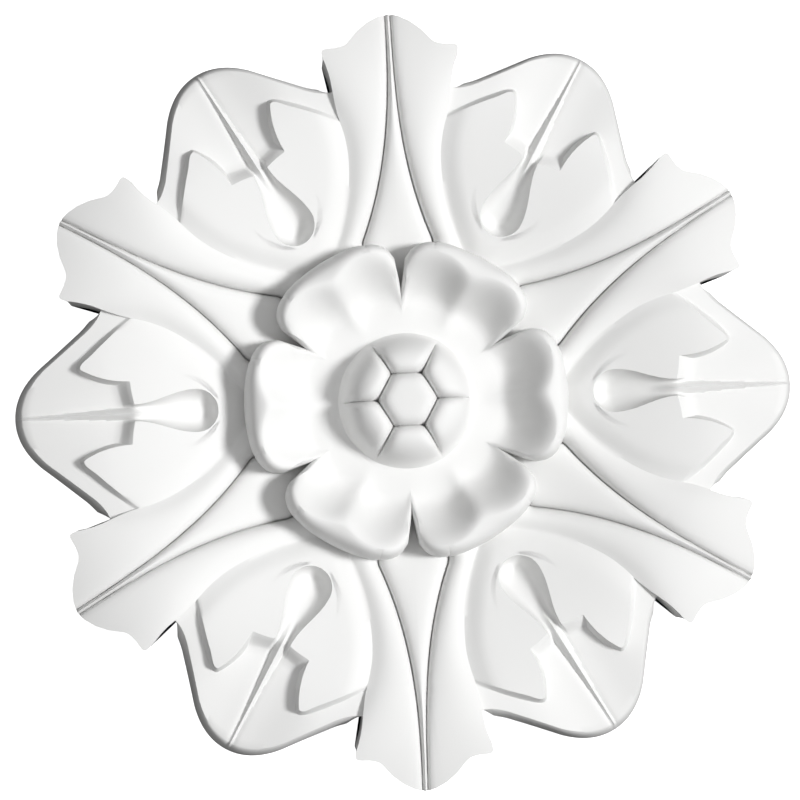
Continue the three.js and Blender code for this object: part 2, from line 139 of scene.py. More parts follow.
class RoseBackSizes(bpy.types.PropertyGroup):
    """Sizes of the back leaves with their teardrop hollow and rib."""

    lobe_radius: length("Lobe radius", 146, "Centre to the tip of a back leaf")
    drop_centre: length("Drop centre", 79.8, "Centre of the round end of the teardrop hollow")
    drop_radius: length("Drop radius", 8.2, "Radius of the round end of the hollow")
    neck_a: length("Neck", 103, "Where the teardrop runs into the rib")
    neck_half: length("Neck half width", 3.2, "Half the width of the neck")
    scoop_depth: length("Scoop depth", 10.5, "Depth of the hollow")
    scoop_deepest: length("Scoop deepest", 74, "Where the hollow is deepest")
    scoop_wall: share("Scoop wall", 3, "Steepness of the wall of the hollow")
    back_root: length("Back leaf root", 18.8, "Height of the back leaf at the neck")
    back_fall: length("Back leaf fall", 4.5, "How far the back leaf falls to its tip")
    back_curve: share("Back leaf curve", 1.8, "Exponent of that fall")
    back_side_rise: length("Back leaf side rise", 3, "How far the back leaf rises towards its sides")
    back_side_half: length("Back leaf side", 26, "Distance from the lobe axis over which it rises")
    rib_tip_half: length("Rib half width at the tip", 0.7, "Half the rib's width at the leaf tip")
    rib_root_half: length("Rib half width at the neck", 2.8, "Half the rib's width at the neck")
    rib_tip_height: length("Rib height at the tip", 0.6, "Height of the rib at the leaf tip")
    rib_root_height: length("Rib height at the neck", 3.8, "Height of the rib at the neck")
    rib_taper: share("Rib taper", 1.5, "Exponent of the taper of the rib")
    rib_flank: share("Rib flank", 1.3, "Exponent of the rib's section, from a roof at 1 to an arch at 2")
    rib_start: length("Rib start", 11, "Length over which the rib rises inside the neck")
    rib_crease: length("Rib crease", 0.9, "Depth of the crease along each side of the rib")
    rib_crease_width: length("Rib crease width", 1, "Width of that crease")
    wall_draft: length("Wall draft", 4, "How far the outer wall spreads at its foot")
    wall_fullness: share("Wall fullness", 1.6, "Exponent of the rounding of the walls")


class RoseCentreSizes(bpy.types.PropertyGroup):
    """Sizes of the rosette's petals and of the boss."""

    rosette_radius: length("Rosette radius", 62, "Radius of the rosette at its foot")
    cleft_radius: length("Cleft radius", 43, "Inner end of the cleft between two petals")
    rim_radius: length("Petal rim radius", 57.6, "Radius of the petals at their rim")
    rim_height: length("Petal rim height", 32.5, "Height of the rim of the petals")
    cleft_height: length("Cleft height", 16.5, "Height of the petals at the cleft")
    petal_root: length("Petal root height", 15.5, "Height of the petals round the boss")
    petal_notch: length("Petal notch", 3.5, "Depth of the notch in the middle of a petal")
    notch_angle: angle("Notch angle", math.radians(9), "Half the angle of that notch")
    petal_curl: share("Petal curl", 0.34, "Share of a petal that lies flat before it curls up")
    petal_cup: length("Petal cup", 1.2, "Depth of the cup in each half of a petal")
    petal_bias: share("Petal bias", 1.5, "How far out the cups and the ridge lie")
    petal_ridge: length("Petal ridge", 1.6, "Height of the ridge in the middle of a petal")
    petal_round: share("Petal roundness", 6, "Exponent of the petals' outline")
    boss_radius: length("Boss radius", 25.2, "Radius of the boss")
    boss_foot: length("Boss foot", 28, "Radius at which the boss has run into the petals")
    boss_fillet: length("Boss fillet", 1.8, "Rounding between the boss and the petals")
    boss_top: length("Boss top", 36, "Height of the boss at the centre")
    boss_fullness: share("Boss fullness", 6.5, "Exponent of the boss's dome")
    bead_flat: length("Bead flat", 9.9, "Centre to the flat of the middle bead")
    bead_groove: length("Bead groove", 3.4, "Depth of the grooves between the beads")
    bead_groove_width: length("Bead rounding", 6.5, "Width over which a bead rounds to its groove")
    bead_crease: length("Bead crease", 2.2, "Depth of the sharp crease between the beads")
    bead_crease_width: length("Bead crease width", 0.5, "Width of that crease")


class RoseMesh(bpy.types.PropertyGroup):
    """Fineness of the carving in half a sector."""

    stem_columns: count("Stem columns", 10, 2, "Across half a stem")
    arc_columns: count("Edge columns", 4, 1, "On each arc of the leaf edge")
    lobe_columns: count("Lobe columns", 36, 4, "Across a side lobe")
    drop_columns: count("Drop columns", 10, 2, "Across half a teardrop")
    leaf_rows: count("Leaf rows", 38, 6, "From the rosette to the waist")
    tongue_rows: count("Tongue rows", 14, 2, "From the waist to the tip")
    back_rows: count("Back leaf rows", 12, 2, "Across a back leaf")
    petal_rows: count("Petal rows", 18, 4, "From the boss to the rim")
    wall_rows: count("Wall rows", 6, 2, "Down each wall")
    bead_rows: count("Bead rows", 9, 2, "Across half the middle bead")
    boss_rows: count("Boss rows", 18, 4, "From the middle bead to the foot")


class RoseFinish(bpy.types.PropertyGroup):
    """Colours of the primer."""

    primer: FloatVectorProperty(
        name="Primer", description="Colour of the white primer", subtype="COLOR",
        size=3, min=0, max=1, default=(0.78, 0.78, 0.775),
    )
    primer_dull: FloatVectorProperty(
        name="Dull primer", description="Primer where it lies thinner", subtype="COLOR",
        size=3, min=0, max=1, default=(0.74, 0.74, 0.732),
    )
    grain: length("Grain", 0.05, "Height of the fine grain of the primer")


class RoseStage(bpy.types.PropertyGroup):
    """Camera, floor and lights."""

    camera_distance: length("Camera distance", 1200, "Distance of the camera from the middle of the back")
    lean_x: share("Lean across", -0.045, "How far the camera stands off the axis, across")
    lean_y: share("Lean along", -0.04, "How far the camera stands off the axis, along")
    roll: angle("Roll", -0.0494, "Turn of the camera about its view")
    focal_length: share("Focal length", 139.6, "Focal length in millimetres")
    shift_x: share("Shift across", -0.0056, "Shift of the picture, across")
    shift_y: share("Shift up", 0.0032, "Shift of the picture, upwards")
    key_strength: share("Key light", 2.85, "Strength of the key light")
    key_elevation: angle("Key elevation", math.radians(51), "Height of the key light above the floor")
    key_azimuth: angle("Key azimuth", 0, "Direction of the key light round the rose")
    key_softness: angle("Key softness", math.radians(12), "Angle that the key light spans")
    sky_strength: share("Sky", 0.6, "Strength of the soft light from above")
    sky_horizon: share("Sky at the horizon", 0.1, "Share of that light that comes from the horizon")
    floor_size: FloatProperty(name="Floor size", description="Side of the floor", default=12, unit="LENGTH")


def to_lobe(x, t):
    """Along and across the axis of the back leaf, from along and across that of the main leaf."""
    return x * COS + t * SIN, x * SIN - t * COS


def from_lobe(a, b):
    return np.stack((a * COS + b * SIN, a * SIN - b * COS), axis=-1)


def clamp01(v):
    return np.clip(v, 0.0, 1.0)


def ease(start, end, v):
    s = clamp01((v - start) / (end - start))
    return s * s * (3 - 2 * s)


def mix(p, q, s):
    return p + (q - p) * s


def arcs_of(knots):
    """Number of arcs in a chain of knots with a control point between each two."""
    return (len(knots) - 1) // 2


def along(knots, s):
    """Points at s along a chain of quadratic arcs, s counting whole arcs."""
    arc = np.minimum(np.floor(s).astype(int), arcs_of(knots) - 1)
    f = (s - arc)[..., None]
    start, control, end = knots[2 * arc], knots[2 * arc + 1], knots[2 * arc + 2]
    return mix(mix(start, control, f), mix(control, end, f), f)


class Carving:
    """Heights and plan curves of half a sector, between the axes of a main leaf and a back leaf."""

    # corner between main leaf and side lobe, and notch between main leaf and back leaf
    wedge_x = 106.9 * MM
    notch_mm = (118.8, 22.6)

    # shares and exponents of the carving
    drop_turn = 0.45
    ridge_width = 0.16
    bead_round = 4
    bead_end = 0.87
    lip_fullness = 2.3
    edge_fullness = 3
    step_round = 0.5
    draft_run = 12
    undercut_run = 4

    # spacing of rows and columns, closer to one end
    stem_spacing = 1.8
    blade_spacing = 1.6
    lobe_spacing = 1.25
    drop_spacing = 1.3
    petal_spacing = 1.3
    bead_spacing = 2
    drop_start = 0.2
    stem_at_tip = 0.12
    search_steps = 40

    def __init__(self, leaf, back, centre, mesh):
        self.leaf = leaf
        self.back = back
        self.centre = centre
        self.mesh = mesh
        notch = np.array(self.notch_mm) * MM
        self.wedge = np.array((self.wedge_x, self.fold_half(self.wedge_x)))
        self.main_edge = np.array((
            (148.4, 0), (147.6, 8.5), (137.4, 16), (135.2, 18), (135.3, 24), (135.5, 26.9),
            (132.4, 26), (126, 23.3), self.notch_mm, (112.5, 21.9), self.wedge / MM,
        )) * MM
        notch_lobe = np.array(to_lobe(*notch)) / MM
        wedge_lobe = np.array(to_lobe(*self.wedge)) / MM
        neck = np.array((back.neck_a, back.neck_half)) / MM
        lobe_radius = back.lobe_radius / MM
        self.lobe_edge = np.array((
            wedge_lobe, (112, 28.7), (118.8, 22), (124.2, 18.4), (122.4, 16.9), (114, 12),
            (104.3, 12), (104.2, 8), neck,
        )) * MM
        self.foot_edge = np.array((
            notch_lobe, (109, 38), (104.4, 36.5), (113.6, 30.2), (120.6, 23.4), (126.2, 18.4),
            (124.2, 16.5), (117, 11.4), (110.2, 10.9), (109.4, 8), (108.4, 4), (108, 2), (108, 0),
        )) * MM
        self.back_outline = np.array((
            notch_lobe, (115.5, 35), (122, 30), (128, 25), (136.5, 18.3),
            (lobe_radius, 10), (lobe_radius, 0),
        )) * MM
        self.outline_match = np.array((0, 0.45, 1.2, 1.9, 2.5, 2.8, 3))

    # heights

    def bowl(self, r):
        """Leaves without their carving: low beside the rosette, highest at the crest."""
        s = self.leaf
        outwards = np.maximum(0, r - s.crest_radius) / (s.tip_radius - s.crest_radius)
        inwards = np.maximum(0, s.crest_radius - r) / (s.crest_radius - self.centre.rosette_radius)
        return s.crest_height - s.tip_drop * outwards ** 2 - s.bowl_depth * inwards ** s.bowl_curve

    def inwards(self, x):
        """Share of the way from the tip of a main leaf to the rosette."""
        s = self.leaf
        return clamp01((s.tip_radius - x) / (s.tip_radius - self.centre.rosette_radius))

    def stem_half(self, x):
        s = self.leaf
        return s.stem_tip_half + (s.stem_root_half - s.stem_tip_half) * self.inwards(x) ** s.stem_taper

    def fold_half(self, x):
        s = self.leaf
        spread = np.where(x < s.waist_x, s.fold_spread_in, s.fold_spread_out)
        return s.fold_half + spread * (x - s.waist_x) ** 2

    def drop_half(self, a):
        s = self.back
        outwards = clamp01((a - s.drop_centre) / (s.neck_a - s.drop_centre))
        swell = 0.5 + 0.5 * np.cos(np.pi * outwards)
        return s.neck_half + (s.drop_radius - s.neck_half) * swell

    def drop_share(self, a, b):
        """Share of the way from the middle of the teardrop to its outline."""
        s = self.back
        round_end = np.hypot(a - s.drop_centre, b) / s.drop_radius
        return np.where(a < s.drop_centre, round_end, np.maximum(0, b) / self.drop_half(a))

    def back_plain(self, r):
        s = self.back
        outwards = clamp01((r - s.neck_a) / (s.lobe_radius - s.neck_a))
        return s.back_root - s.back_fall * outwards ** s.back_curve

    def back_height(self, x, t):
        s = self.back
        a, b = to_lobe(x, t)
        inwards = clamp01((s.lobe_radius - a) / (s.lobe_radius - s.neck_a)) ** s.rib_taper
        half = s.rib_tip_half + (s.rib_root_half - s.rib_tip_half) * inwards
        rise = s.rib_tip_height + (s.rib_root_height - s.rib_tip_height) * inwards
        flank = np.maximum(0, 1 - np.abs(b / half) ** s.rib_flank)
        crease = s.rib_crease * np.exp(-np.abs(np.abs(b) - half) / s.rib_crease_width)
        present = ease(s.neck_a - s.rib_start, s.neck_a, a)
        side = s.back_side_rise * ease(s.neck_half, s.back_side_half, b)
        return self.back_plain(np.hypot(x, t)) + side + (rise * flank - crease) * present

    def leaf_height(self, x, t):
        s = self.leaf
        a, b = to_lobe(x, t)
        near_axis = np.maximum(0, s.axis_round - b)
        rounded = from_lobe(a, b + near_axis ** 2 / (2 * s.axis_round))
        x, t = rounded[..., 0], rounded[..., 1]
        stem = self.stem_half(x)
        fold = self.fold_half(x)
        inwards = self.inwards(x)
        groove_width = s.groove_tip_width + (s.groove_root_width - s.groove_tip_width) * inwards
        past = t - fold
        groove_depth = s.groove_tip_depth + (s.groove_root_depth - s.groove_tip_depth) * inwards
        to_groove = np.abs(t - stem)
        groove = groove_depth * np.exp(-to_groove / groove_width)
        groove = groove + s.crease_depth * np.exp(-to_groove / s.crease_width)
        crown = s.stem_rise * np.sqrt(inwards) * np.maximum(0, 1 - (t / stem) ** 2)
        blade = s.blade_crown * np.sin(np.pi * clamp01((t - stem) / (fold - stem)))
        valley = s.fold_depth * np.exp(-np.hypot(past, s.fold_round) / s.fold_width)
        lobe = s.lobe_rise * ease(0, s.lobe_rise_width, past)
        return self.bowl(np.hypot(x, t)) + crown - groove + blade - valley + lobe

    def front_height(self, x, t):
        s = self.back
        a, b = to_lobe(x, t)
        leaf = self.leaf_height(x, t)
        inside = self.drop_share(a, b)
        outwards = clamp01((a - s.scoop_deepest) / (s.neck_a - s.scoop_deepest))
        depth = mix(s.scoop_depth, leaf - self.back_height(x, t), outwards)
        return leaf - depth * np.maximum(0, 1 - inside ** s.scoop_wall)

    def petal_swell(self, angle):
        """Fullness of a petal from its cleft (0) to its middle (1)."""
        from_middle = clamp01(1 - angle / HALF_SECTOR)
        return np.sqrt(1 - from_middle ** self.centre.petal_round)

    def petal_base(self, angle):
        s = self.centre
        return s.cleft_radius + (s.rosette_radius - s.cleft_radius) * self.petal_swell(angle)

    def petal_rim(self, angle):
        s = self.centre
        notch = s.petal_notch * np.exp(-(((HALF_SECTOR - angle) / s.notch_angle) ** 2))
        return s.cleft_radius + (s.rim_radius - s.cleft_radius) * self.petal_swell(angle) - notch

    def petal_height(self, angle, f):
        s = self.centre
        rim = s.cleft_height + (s.rim_height - s.cleft_height) * self.petal_swell(angle)
        from_middle = (HALF_SECTOR - angle) / HALF_SECTOR
        outwards = np.sin(np.pi * f ** s.petal_bias)
        ridge = s.petal_ridge * np.exp(-((from_middle / self.ridge_width) ** 2)) * outwards
        cup = s.petal_cup * np.sin(np.pi * from_middle) ** 2 * outwards
        return s.petal_root + (rim - s.petal_root) * ease(s.petal_curl, 1, f) + ridge - cup

    def boss_height(self, x, t):
        s = self.centre
        _, b = to_lobe(x, t)
        r = np.hypot(x, t)
        to_hexagon = np.abs(x - s.bead_flat)
        to_next_side = s.bead_flat - (x * math.cos(2 * HALF_SECTOR) + t * math.sin(2 * HALF_SECTOR))
        to_spoke = np.where(x < s.bead_flat, to_next_side, b)
        groove = 0
        for gap in (to_hexagon, to_spoke):
            groove = groove + s.bead_groove * clamp01(1 - gap / s.bead_groove_width) ** self.bead_round
            groove = groove + s.bead_crease * np.exp(-np.abs(gap) / s.bead_crease_width)
        dome = (s.boss_top - s.petal_root) * (1 - (r / s.boss_radius) ** s.boss_fullness)
        filleted = (dome + np.hypot(dome, s.boss_fillet)) / 2
        at_foot = ease(s.boss_foot, s.boss_radius, r)
        fade = ease(s.boss_radius, self.bead_end * s.boss_radius, r)
        return s.petal_root + filleted * at_foot - groove * fade

    # plan of the patches

    def main_offset(self, column, x):
        """Distance from the leaf axis: column 0 to 1 crosses the stem, 1 to 2 the blade."""
        stem = self.stem_half(x)
        on_stem = (1 - (1 - clamp01(column)) ** self.stem_spacing) * stem
        on_blade = stem + clamp01(column - 1) ** self.blade_spacing * (self.fold_half(x) - stem)
        return np.where(column <= 1, on_stem, on_blade)

    def leaves_rosette(self, column):
        """Where a column of the main leaf comes out from under the rosette."""
        low = np.full_like(column, self.centre.cleft_radius)
        high = np.full_like(column, self.centre.rosette_radius)
        for _ in range(self.search_steps):
            x = (low + high) / 2
            t = self.main_offset(column, x)
            hidden = np.hypot(x, t) < self.petal_base(np.arctan2(t, x))
            low = np.where(hidden, x, low)
            high = np.where(hidden, high, x)
        return low

    def drop_outline(self, f):
        s = self.back
        turn = self.drop_turn
        angle = np.pi * (1 - 0.5 * clamp01(f / turn))
        a_round = s.drop_centre + s.drop_radius * np.cos(angle)
        a_taper = s.drop_centre + (s.neck_a - s.drop_centre) * clamp01((f - turn) / (1 - turn))
        a = np.where(f < turn, a_round, a_taper)
        b = np.where(f < turn, s.drop_radius * np.sin(angle), self.drop_half(a_taper))
        return a, b

    def lobe_axis(self, v, start):
        """Lobe axis as far as the teardrop, then round the teardrop's outline."""
        s = self.back
        a, b = self.drop_outline((v - start) / (1 - start))
        first = s.drop_centre - s.drop_radius
        straight = mix(self.centre.rosette_radius, first, clamp01(v / start))
        return from_lobe(np.where(v < start, straight, a), np.where(v < start, 0, b))

    def plan(self):
        """Plan points of the leaf, drop and tongue patches."""
        m = self.mesh
        arcs = arcs_of(self.main_edge)
        blade_columns = arcs * m.arc_columns
        drop_start = round(self.drop_start * m.leaf_rows) / m.leaf_rows
        v = np.linspace(0, 1, m.leaf_rows + 1)[:, None]
        stem = np.linspace(0, 1, m.stem_columns + 1)
        blade = 1 + np.linspace(0, 1, blade_columns + 1)[1:]
        main_columns = np.concatenate((stem, blade))
        x = mix(self.leaves_rosette(main_columns), self.wedge[0], v)
        main = np.stack((x, self.main_offset(main_columns, x)), axis=-1)

        k = 1 - (1 - np.linspace(0, 1, m.lobe_columns + 1)) ** self.lobe_spacing
        fold = main[:, -1]
        angle = mix(math.atan2(fold[0, 1], fold[0, 0]), HALF_SECTOR, k)
        base = self.petal_base(angle)
        inner = np.stack((base * np.cos(angle), base * np.sin(angle)), axis=-1)
        edge = along(self.lobe_edge, k * arcs_of(self.lobe_edge))
        outer = from_lobe(edge[:, 0], edge[:, 1])
        axis = self.lobe_axis(v[:, 0], drop_start)
        kk = k[None, :, None]
        vv = v[:, :, None]
        across = mix(fold[:, None], axis[:, None], kk)
        outwards = mix(inner[None], outer[None], vv)
        corners = mix(mix(inner[0], inner[-1], kk), mix(outer[0], outer[-1], kk), vv)
        lobe = across + outwards - corners
        leaf = np.concatenate((main, lobe[:, 1:]), axis=1)

        axis = axis[round(drop_start * m.leaf_rows):]
        a, _ = to_lobe(axis[:, 0], axis[:, 1])
        spine = from_lobe(np.maximum(a, self.back.drop_centre), 0 * a)
        across_drop = (np.linspace(0, 1, m.drop_columns + 1) ** self.drop_spacing)[None, :, None]
        drop = mix(axis[:, None], spine[:, None], across_drop)

        tip_edge = along(self.main_edge, np.concatenate((self.stem_at_tip * stem, arcs * (blade - 1))))
        w = np.linspace(0, 1, m.tongue_rows + 1)[:, None, None]
        tongue = mix(main[-1][None], tip_edge[None], w)
        return leaf, drop, tongue

    def patches(self):
        """Grids of points (along, across, height) that together cover half a sector."""
        m = self.mesh
        leaf, drop, tongue = self.plan()
        front = [self.raise_to(plan, self.front_height) for plan in (leaf, drop, tongue)]
        leaf, drop, tongue = front

        foot_of_petals = leaf[0]
        angle = np.clip(np.arctan2(foot_of_petals[:, 1], foot_of_petals[:, 0]), 0, HALF_SECTOR)
        petals = self.petal_patch(angle)
        wall = self.round_wall(petals[-1], foot_of_petals, self.lip_fullness)
        boss = self.boss_patch(angle)

        main_columns = tongue.shape[1]
        main_top = tongue[-1][: -m.arc_columns]
        front_top = np.concatenate((
            tongue[-1][-m.arc_columns - 1:], leaf[-1][main_columns:], drop[-1][1:],
        ))
        back = self.back_patch()
        step = self.slope_between(front_top, back[0])

        outline = back[-1]
        from_notch = np.linspace(0, 1, len(outline))
        base_outline = self.at_base(outline, self.back.wall_draft * clamp01(self.draft_run * from_notch))
        outer_wall = self.round_wall(outline, base_outline, self.back.wall_fullness)
        to_notch = np.linspace(1, 0, len(main_top))
        main_foot = self.at_base(main_top, self.leaf.edge_spread * clamp01(self.undercut_run * to_notch))
        main_middle = main_foot.copy()
        main_middle[:, 2] = main_top[:, 2] * outline[0, 2] / main_top[-1, 2]
        main_wall = np.concatenate((
            self.round_wall(main_top, main_middle, self.edge_fullness),
            self.round_wall(main_middle, main_foot, self.edge_fullness)[1:],
        ))
        main_wall[: m.wall_rows + 1, -1] = step[:, 0]
        main_wall[m.wall_rows:, -1] = outer_wall[:, 0]
        base = np.concatenate((main_foot, outer_wall[-1][1:]))
        underside = np.stack((base, 0 * base))
        return [boss, petals, wall, leaf, drop, tongue, step, back, outer_wall, main_wall, underside]

    def raise_to(self, plan, height):
        return np.concatenate((plan, height(plan[..., 0], plan[..., 1])[..., None]), axis=-1)

    def round_wall(self, top, foot, fullness):
        """Wall that leaves the top level and rounds over to meet its foot upright."""
        turn = np.linspace(0, np.pi / 2, self.mesh.wall_rows + 1)[:, None]
        power = 2 / fullness
        plan = mix(top[None, :, :2], foot[None, :, :2], (np.sin(turn) ** power)[..., None])
        height = foot[:, 2] + (top[:, 2] - foot[:, 2]) * np.cos(turn) ** power
        height[-1] = foot[:, 2]
        return np.concatenate((plan, height[..., None]), axis=-1)

    def slope_between(self, top, foot):
        """Slope with a slightly rounded top and foot."""
        s = np.linspace(0, 1, self.mesh.wall_rows + 1)[:, None]
        plan = mix(top[None, :, :2], foot[None, :, :2], s[..., None])
        height = mix(top[:, 2], foot[:, 2], mix(s, ease(0, 1, s), self.step_round))
        return np.concatenate((plan, height[..., None]), axis=-1)

    def at_base(self, edge, spread):
        foot = edge * (1 + spread / np.hypot(edge[:, 0], edge[:, 1]))[:, None]
        foot[:, 2] = 0
        return foot

    def petal_patch(self, angle):
        f = (1 - (1 - np.linspace(0, 1, self.mesh.petal_rows + 1)) ** self.petal_spacing)[:, None]
        s = self.centre
        r = s.boss_foot + (self.petal_rim(angle) - s.boss_foot) * f
        return np.stack((r * np.cos(angle), r * np.sin(angle), self.petal_height(angle, f)), axis=-1)

    def boss_patch(self, angle):
        inside = 1 - (1 - np.linspace(0, 1, self.mesh.bead_rows + 1)) ** self.bead_spacing
        outside = (1 - np.cos(np.pi * np.linspace(0, 1, self.mesh.boss_rows + 1))) / 2
        hexagon = self.centre.bead_flat / np.cos(angle)
        r = np.concatenate((
            hexagon * inside[:-1, None],
            mix(hexagon, self.centre.boss_foot, outside[:, None]),
        ))
        plan = np.stack((r * np.cos(angle), r * np.sin(angle)), axis=-1)
        return self.raise_to(plan, self.boss_height)

    def back_patch(self):
        m = self.mesh
        notch = np.linspace(0, 1, m.arc_columns + 1)
        k = 1 - (1 - np.linspace(0, 1, m.lobe_columns + 1)[1:]) ** self.lobe_spacing
        neck = np.linspace(0, 1, m.drop_columns + 1)[1:] ** self.drop_spacing
        lobe_arcs = arcs_of(self.lobe_edge)
        s = np.concatenate((notch, 1 + lobe_arcs * k, 1 + lobe_arcs + neck))
        knot = np.minimum(np.floor(s).astype(int), arcs_of(self.foot_edge) - 1)
        match = mix(self.outline_match[knot], self.outline_match[knot + 1], s - knot)
        foot = along(self.foot_edge, s)
        outline = along(self.back_outline, match)
        plan = mix(foot[None], outline[None], np.linspace(0, 1, m.back_rows + 1)[:, None, None])
        return self.raise_to(from_lobe(plan[..., 0], plan[..., 1]), self.back_height)


def deselect_all():
    if bpy.context.object and bpy.context.object.mode != "OBJECT":
        bpy.ops.object.mode_set(mode="OBJECT")
    bpy.ops.object.select_all(action="DESELECT")


def pick(*pieces):
    """Selects these pieces alone, the first one active."""
    deselect_all()
    for piece in pieces:
        piece.select_set(True)
    bpy.context.view_layer.objects.active = pieces[0]


def carve_patch(name, points):
    """A flat grid whose points are moved to the carved surface."""
    rows, columns = points.shape[0] - 1, points.shape[1] - 1
    deselect_all()
    bpy.ops.mesh.primitive_grid_add(x_subdivisions=columns, y_subdivisions=rows, size=1)
    patch = bpy.context.object
    patch.name = name
    flat = np.empty(3 * len(patch.data.vertices))
    patch.data.vertices.foreach_get("co", flat)
    flat = flat.reshape(-1, 3)
    column = np.rint((flat[:, 0] + 0.5) * columns).astype(int)
    row = np.rint((flat[:, 1] + 0.5) * rows).astype(int)
    carved = points[row, column]
    place = np.stack((carved[:, 1], carved[:, 0], carved[:, 2]), axis=-1)
    patch.data.vertices.foreach_set("co", place.ravel())
    patch.data.update()
    return patch


def read_sizes(group):
    """Values of a property group as plain numbers."""
    return SimpleNamespace(**{key: getattr(group, key) for key in type(group).__annotations__})


def apply_modifier(piece, kind, **settings):
    modifier = piece.modifiers.new(kind.title(), kind)
    for key, value in settings.items():
        setattr(modifier, key, value)
    pick(piece)
    bpy.ops.object.modifier_apply(modifier=modifier.name)


def primer_material(finish):
    """Matt white primer with a fine grain and faint cloudiness."""
    material = bpy.data.materials.new("white_primer")
    material.use_nodes = True
    nodes = material.node_tree.nodes
    links = material.node_tree.links
    shader = nodes["Principled BSDF"]
    place = nodes.new("ShaderNodeTexCoord")

    clouds = nodes.new("ShaderNodeTexNoise")
    clouds.inputs["Scale"].default_value = CLOUD_SCALE
    clouds.inputs["Detail"].default_value = CLOUD_DETAIL
    links.new(place.outputs["Object"], clouds.inputs["Vector"])
    colour = nodes.new("ShaderNodeMix")
    colour.data_type = "RGBA"
    colour.inputs[6].default_value = (*finish.primer, 1)
    colour.inputs[7].default_value = (*finish.primer_dull, 1)
    links.new(clouds.outputs["Fac"], colour.inputs[0])
    links.new(colour.outputs[2], shader.inputs["Base Color"])

    sheen = nodes.new("ShaderNodeMapRange")
    sheen.inputs["To Min"].default_value = ROUGHNESS_LOW
    sheen.inputs["To Max"].default_value = ROUGHNESS_HIGH
    links.new(clouds.outputs["Fac"], sheen.inputs["Value"])
    links.new(sheen.outputs["Result"], shader.inputs["Roughness"])

    grain = nodes.new("ShaderNodeTexNoise")
    grain.inputs["Scale"].default_value = GRAIN_SCALE
    grain.inputs["Detail"].default_value = GRAIN_DETAIL
    links.new(place.outputs["Object"], grain.inputs["Vector"])
    bump = nodes.new("ShaderNodeBump")
    bump.inputs["Strength"].default_value = GRAIN_STRENGTH
    bump.inputs["Distance"].default_value = finish.grain
    links.new(grain.outputs["Fac"], bump.inputs["Height"])
    links.new(bump.outputs["Normal"], shader.inputs["Normal"])
    shader.inputs["Specular IOR Level"].default_value = SPECULAR
    return material


class ROSE_OT_carve(bpy.types.Operator):
    """Carve the whole rose, prime it and put it in place of its plain solid"""

    bl_idname = "rose.carve"
    bl_label = "Carve Rose"

    def execute(self, context):
        scene = context.scene
        carving = Carving(
            read_sizes(scene.rose_leaf), read_sizes(scene.rose_back),
            read_sizes(scene.rose_centre), read_sizes(scene.rose_mesh),
        )
        patches = [carve_patch("carved_patch", points) for points in carving.patches()]
        pick(*patches)
        bpy.ops.object.join()
        rose = context.object
        rose.name = "carved_rose"
        rose.data.name = "carved_rose"
        self.weld(rose)
        apply_modifier(rose, "MIRROR", use_axis=(True, False, False), merge_threshold=SEAM_GAP)
        self.turn_round(rose)
        self.weld(rose)
        bpy.ops.object.shade_smooth_by_angle(angle=SMOOTH_ANGLE)
        rose.data.materials.clear()
        rose.data.materials.append(primer_material(read_sizes(scene.rose_finish)))
        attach(rose, "root")
        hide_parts(ROSE_NODE)
        return {"FINISHED"}

    @staticmethod
    def weld(rose):
        pick(rose)
        bpy.ops.object.mode_set(mode="EDIT")
        bpy.ops.mesh.select_all(action="SELECT")
        bpy.ops.mesh.remove_doubles(threshold=WELD_GAP)
        bpy.ops.mesh.normals_make_consistent(inside=False)
        bpy.ops.object.mode_set(mode="OBJECT")

    @staticmethod
    def turn_round(rose):
        """Copies one leaf and its half back leaves all round the centre."""
        deselect_all()
        bpy.ops.object.empty_add(location=(0, 0, 0), rotation=(0, 0, 2 * HALF_SECTOR))
        turn = bpy.context.object
        bpy.context.view_layer.update()
        apply_modifier(
            rose, "ARRAY", fit_type="FIXED_COUNT", count=LEAVES, use_relative_offset=False,
            use_object_offset=True, offset_object=turn, use_merge_vertices=True,
            use_merge_vertices_cap=True, merge_threshold=SEAM_GAP,
        )
        bpy.data.objects.remove(turn)


